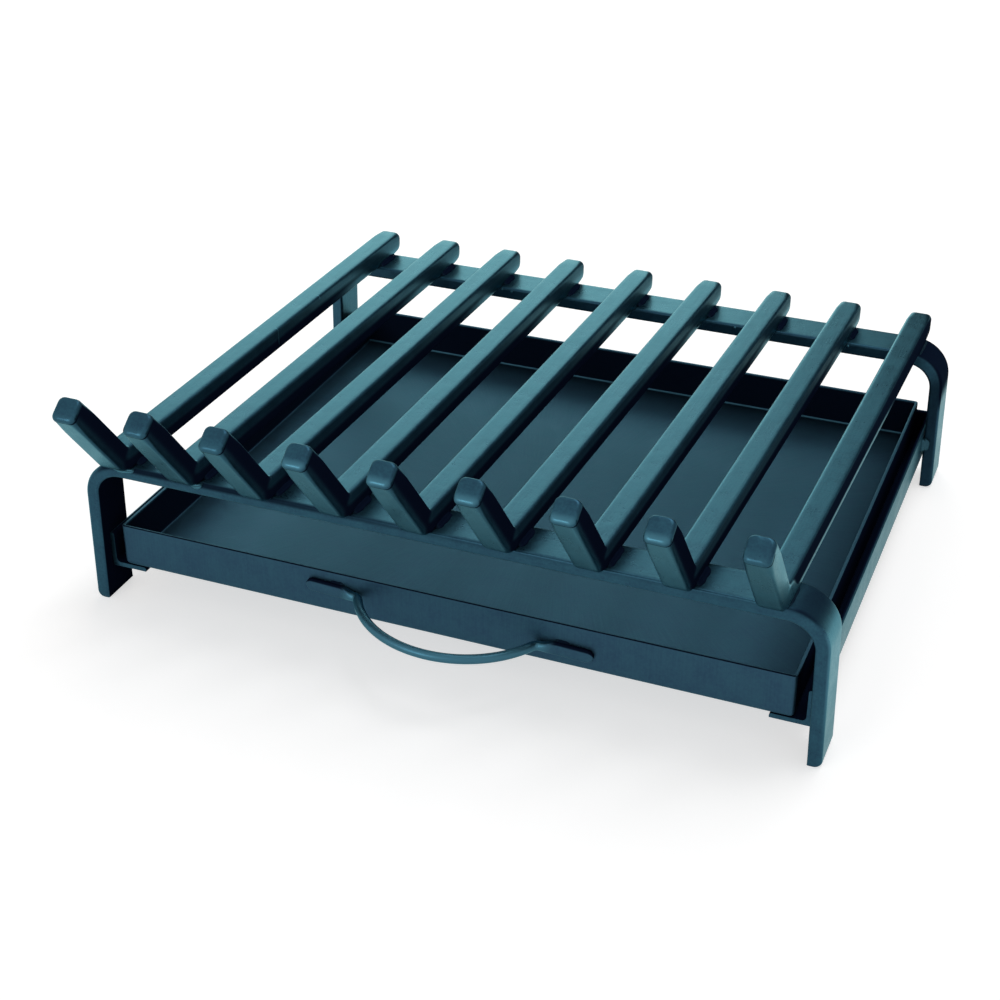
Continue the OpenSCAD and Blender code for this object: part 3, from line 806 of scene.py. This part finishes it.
def bead(start, end, first, second, leg, shadingAndMarks, sunk=None, blunt=5):
    # fillet along the line from start to end, between faces that run in the directions first and second: points
    # leg (cos a, sin a) with ripples, closing like an ellipse at both ends; sunk gives how far the lower face
    # falls away below the line
    length = np.linalg.norm(end - start)
    along = unit(end - start)
    rows = max(int(length / welds["step"]), 12)
    t = np.linspace(0, 1, rows)
    closing = np.sqrt(np.clip(1 - np.abs(2 * t - 1) ** blunt, welds["tip"], 1))
    angle = np.linspace(0, 90, 13)
    cos, sin = turned(angle)
    wander = leg * welds["wander"] * np.sin(2 * np.pi * (t * length / welds["wanderLength"] + rng.random()))
    bow = welds["rippleBow"] * leg * np.sin(np.radians(2 * angle))
    wave = (t[:, None] * length + bow) / welds["ripple"] + rng.random()
    ripple = 1 - welds["rippleDepth"] * (wave % 1) ** welds["rippleShape"]
    size = (leg + wander)[:, None] * closing[:, None] * ripple
    face = welds["face"] + welds["hollow"] * np.cos(np.radians(4 * angle))
    root = -welds["root"] * closing[:, None] * np.ones((rows, 3))
    u = np.concatenate([size * cos * face, root * [0, 1, 1]], axis=1)
    v = np.concatenate([size * sin * face, root * [1, 1, 0]], axis=1)
    centres = start + (t * length)[:, None] * along
    points = centres[:, None, :] + u[..., None] * first + v[..., None] * second
    if sunk is not None:
        points[..., 2] -= sunk(points) * np.clip(1 - v / leg, 0, 1.6)
    # painted shade over the bead, less at its start
    atStart = smooth(1 - t * length / welds["endLength"])[:, None]
    return shell(points, shadingAndMarks * spread((1, welds["shadingEnd"]), atStart))


def fleck(centre, radius):
    # half a flattened ball on a front face: centre + radius (cos a sin b, -fleckHeight cos b, sin a sin b)
    a, b = np.meshgrid(np.radians(np.arange(0, 360, 30)), np.radians([8, 30, 55, 80, 100]))
    ball = np.stack([np.cos(a) * np.sin(b), -welds["fleckHeight"] * np.cos(b), np.sin(a) * np.sin(b)], axis=-1)
    return shell(centre + radius * ball, welds["shadingFleck"])


def sunkCorner(points):
    # how far a frame's bend lies below the level of its beam: R - sqrt(R^2 - way beyond the bend's middle^2)
    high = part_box("front_frame")[1]
    beyond = np.abs(points[..., 0]) - frameBend(high.x, high.z)[2][0]
    radius = frames["bendRadius"]
    return radius - np.sqrt(radius ** 2 - np.clip(beyond, 0, radius * 0.9) ** 2)


def barWelds(frameNode, node, name):
    # a bead on either side of each bar, across the frame but for a margin that varies
    low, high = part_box(frameNode)
    front, back = low.y - frontY, high.y - frontY
    margin = (high.y - low.y - welds["barLength"]) / 2
    shells = []
    for number in range(1, bars["count"] + 1):
        start, along, across = barLine(number)[:3]
        for side in (-1, 1):
            first = front + margin + rng.uniform(-0.6, 0.2) * margin
            last = back - margin + rng.uniform(-0.3, 0.5) * margin
            corner = start + side * across * bars["side"] / 2
            leg = welds["barLeg"] * rng.uniform(0.9, 1.15)
            # painted shade, more on the bar's right side and less outside the last bar
            shadingAndMarks = welds["shadingAndMarks"] if side < 0 else welds["shadingRight"]
            if side > 0 and number == bars["count"]:
                leg, shadingAndMarks = leg * welds["lastLeg"], welds["shadingLast"]
            shells.append(bead(corner + along * first, corner + along * last, side * across, up, leg, shadingAndMarks,
                               sunkCorner))
        if frameNode == "front_frame" and number in welds["frontBeads"]:
            root = start + along * welds["frontRoot"]
            left, right = (share * bars["side"] * across for share in welds["frontBeads"][number])
            cos, sin = turned(welds["frontLean"])
            shells.append(bead(root + left, root + right, -sin * toBack - cos * up, sin * up - cos * toBack,
                               welds["frontLeg"], welds["shadingFront"], blunt=3))
    if frameNode == "rear_frame":
        shells += [fleck(np.array([x * mm, low.y, z * mm]), size * mm) for x, z, size in welds["spatter"]]
    addPiece(name, shells, "grate", "weld_paint", node, 60)


def runnerWelds():
    # an upright bead where each side runner passes a leg
    low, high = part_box("right_runner")
    bottom = low.z + (runners["leg"] - welds["runnerLength"]) / 2
    shells = []
    for side in (-1, 1):
        for edge, facing in ((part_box("front_frame")[1].y, 1), (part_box("rear_frame")[0].y, -1)):
            start = np.array([side * high.x, edge, bottom])
            shells.append(bead(start, start + up * welds["runnerLength"], side * toRight, facing * toBack,
                               welds["runnerLeg"], welds["shadingRunner"], blunt=2))
    addPiece("runnerWelds", shells, "grate", "weld_paint", "runner_welds", 60)


def handleTacks():
    # above and below each pad, along its middle
    low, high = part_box("pan_handle")
    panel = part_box("ash_pan")[0].y
    cos, sin = turned(handle["tilt"])
    level, rise = cos * toRight - sin * up, sin * toRight + cos * up
    middle = np.array([(low.x + high.x) / 2, panel, (low.z + high.z) / 2])
    reach = handle["span"] / 2 + (handle["padLength"] - handle["padHeight"] / 2 - welds["tackLength"]) / 2
    shells = []
    for side in (-1, 1):
        for edge in (-1, 1):
            start = middle + side * level * reach + edge * rise * handle["padHeight"] / 2
            shells.append(bead(start, start + side * level * welds["tackLength"], edge * rise, -toBack,
                               welds["tackLeg"], welds["shadingAndMarks"]))
    addPiece("handleTacks", shells, "pan", "weld_paint", "handle_welds", 60)


barWelds("front_frame", "front_bar_welds", "frontBarWelds")
barWelds("rear_frame", "rear_bar_welds", "rearBarWelds")
runnerWelds()
handleTacks()
print("welds laid")


# floor, light and camera

studio = {
    "floorHalf": 6.0, "floorLevel": -0.0002, "floorGrey": 0.65,
    "floorGlow": 0.6, "glowRise": (0.9, 2.8),   # the floor's own white, which rises to 1 between these distances
    "ambient": 0.35,
    # the camera, as it was fitted to the photograph
    "lensMm": 63.92, "sensorMm": 36.0, "clip": (0.05, 50),
    "eye": (0.37797, -0.99134, 0.65652),
    "right": (0.92707587, 0.37486834, -0.00201454),
    "down": (0.18801307, -0.46960534, -0.86262501),
    "forward": (-0.32431684, 0.79934007, -0.50583993),
}
flag = {"centre": (0.65, 1.55, 0.62), "width": 1.5, "height": 1.2, "colour": (0.02, 0.02, 0.02)}
lamps = [
    # name, place, point aimed at, width, height, power in watts, colour
    ("overheadSoftbox", (0.5, 0.6, 2.4), (0, 0, 0), 1.4, 1.4, 22.0, (1.0, 1.0, 1.0)),
    ("rearLeftSoftbox", (-1.05, 2.15, 0.90), (0, 0, 0.1), 1.45, 1.25, 13.0, (1.0, 0.88, 0.78)),
    ("frontSoftbox", (-0.8, -2.1, 0.85), (0, 0, 0.1), 1.3, 0.8, 9.5, (1.0, 1.0, 1.0)),
]


def backgroundRays(make):
    # 1 for rays from the camera, from gloss and through glass, 0 for the soft light that lights the object
    seen, gloss, glass = (make.node("LightPath", output="Is %s Ray" % kind)
                          for kind in ("Camera", "Glossy", "Transmission"))
    return make.math("MAXIMUM", seen, make.math("MAXIMUM", gloss, glass))


def stagePlane(name, corners, material):
    mesh = bpy.data.meshes.new(name)
    mesh.from_pydata(corners, [], [(0, 1, 2, 3)])
    mesh.materials.append(material)
    plane = shown(name, mesh)
    return plane


def makeFloor():
    # pale grey that keeps the shadow, and white on top of it for the rays that see it
    material, make = newTree(bpy.data.materials, "paleFloor")
    matt = make.node("BsdfDiffuse", {}, {"Color": (studio["floorGrey"],) * 3})
    away = make.node("VectorMath", {"operation": "LENGTH"}, {0: make.node("TexCoord", output="Object")}, "Value")
    glowing = backgroundRays(make) * away.between(*studio["glowRise"], studio["floorGlow"], 1.0)
    glow = make.node("Emission", {}, {"Color": (1.0, 1.0, 1.0), "Strength": glowing})
    both = make.node("AddShader", {}, {0: matt, 1: glow})
    make.node("OutputMaterial", {}, {"Surface": both})
    half, level = studio["floorHalf"], studio["floorLevel"]
    stagePlane("floor", [(x * half, y * half, level) for x, y in ((-1, -1), (1, -1), (1, 1), (-1, 1))], material)


def makeFlag():
    # black cloth behind the grate to its right, which only its gloss shows
    material, make = newTree(bpy.data.materials, "blackCloth")
    make.node("OutputMaterial", {}, {"Surface": make.node("BsdfDiffuse", {}, {"Color": flag["colour"]})})
    centre = np.array(flag["centre"])
    side = unit(np.cross(up, centre * [1, 1, 0])) * flag["width"] / 2
    rise = up * flag["height"] / 2
    corners = [centre - side - rise, centre + side - rise, centre + side + rise, centre - side + rise]
    cloth = stagePlane("blackFlag", [corner.tolist() for corner in corners], material)
    cloth.visible_camera = cloth.visible_shadow = cloth.visible_diffuse = False


def makeWorld():
    world, make = newTree(bpy.data.worlds, "studio")
    strength = backgroundRays(make).between(0, 1, studio["ambient"], 1.0)
    back = make.node("Background", {}, {"Color": (1.0, 1.0, 1.0), "Strength": strength})
    make.node("OutputWorld", {}, {"Surface": back})
    bpy.context.scene.world = world


def stood(name, data, place, *axes):
    # an object at a place, with the directions of its own three axes
    made = shown(name, data)
    made.matrix_world = Matrix.Translation(place) @ Matrix(np.stack(axes, axis=1).tolist()).to_4x4()
    return made


def makeLamps():
    for name, place, aim, width, height, power, colour in lamps:
        light = bpy.data.lights.new(name, "AREA")
        light.shape, light.size, light.size_y = "RECTANGLE", width, height
        light.energy, light.color = power, colour
        backward = unit(np.array(place) - np.array(aim))
        side = unit(np.cross(up, backward))
        stood(name, light, place, side, np.cross(backward, side), backward)


def makeCamera():
    # at the photograph's viewing angle
    data = bpy.data.cameras.new("camera")
    data.lens, data.sensor_width = studio["lensMm"], studio["sensorMm"]
    data.clip_start, data.clip_end = studio["clip"]
    right, down, forward = (np.array(studio[key]) for key in ("right", "down", "forward"))
    bpy.context.scene.camera = stood("camera", data, studio["eye"], right, -down, -forward)


makeFloor()
makeFlag()
makeWorld()
makeLamps()
makeCamera()
bpy.context.scene.view_settings.view_transform = "Standard"
print("studio set")
